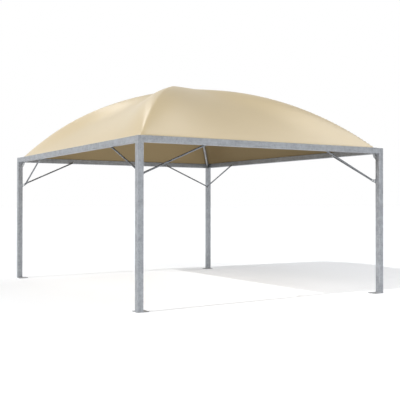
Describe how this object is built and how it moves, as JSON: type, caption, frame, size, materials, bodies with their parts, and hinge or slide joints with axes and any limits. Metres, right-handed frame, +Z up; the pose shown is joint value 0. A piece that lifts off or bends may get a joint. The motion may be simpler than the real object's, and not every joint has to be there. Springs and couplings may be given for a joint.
{
  "type": "dome gazebo",
  "caption": "Open rectangular gazebo with a domed fabric canopy on crossed tube arches, square posts with base plates, perimeter beams and slim knee braces.",
  "frame": {"origin": "middle of the footprint on the ground", "axes": "+X to the right along the shorter sides, +Y from front to back along the longer sides, +Z up"},
  "size_m": [4, 5, 3.1763],
  "materials": {
    "zinc_tube": "hot-dip galvanised square tube, matt grey with fine spangle",
    "zinc_plate": "hot-dip galvanised flat steel, matt grey",
    "arch_tube": "hot-dip galvanised round tube, matt grey",
    "brace_bar": "galvanised round tube with flattened ends, slightly bright",
    "clamp_bar": "galvanised flat bar",
    "coated_fabric": "sand-coloured coated polyester fabric, taut, with a soft satin sheen"
  },
  "bodies": {
    "root": {"base_plate_front_left": "zinc_plate", "base_plate_front_right": "zinc_plate", "base_plate_back_left": "zinc_plate", "base_plate_back_right": "zinc_plate", "post_front_left": "zinc_tube", "post_front_right": "zinc_tube", "post_back_left": "zinc_tube", "post_back_right": "zinc_tube", "beam_front": "zinc_tube", "beam_back": "zinc_tube", "beam_left": "zinc_tube", "beam_right": "zinc_tube", "arch_foot_plate_front_left": "zinc_plate", "arch_foot_plate_front_right": "zinc_plate", "arch_foot_plate_back_left": "zinc_plate", "arch_foot_plate_back_right": "zinc_plate", "half_arch_front_left": "arch_tube", "half_arch_front_right": "arch_tube", "half_arch_back_left": "arch_tube", "half_arch_back_right": "arch_tube", "crown_cross": "arch_tube", "brace_lug_front_left": "zinc_plate", "brace_lug_front_right": "zinc_plate", "brace_lug_back_left": "zinc_plate", "brace_lug_back_right": "zinc_plate", "brace_front_left_across": "brace_bar", "brace_front_left_along": "brace_bar", "brace_front_right_across": "brace_bar", "brace_front_right_along": "brace_bar", "brace_back_left_across": "brace_bar", "brace_back_left_along": "brace_bar", "brace_back_right_across": "brace_bar", "brace_back_right_along": "brace_bar", "membrane": "coated_fabric", "clamp_bar_front": "clamp_bar", "clamp_bar_back": "clamp_bar", "clamp_bar_left": "clamp_bar", "clamp_bar_right": "clamp_bar"}
  },
  "joints": []
}
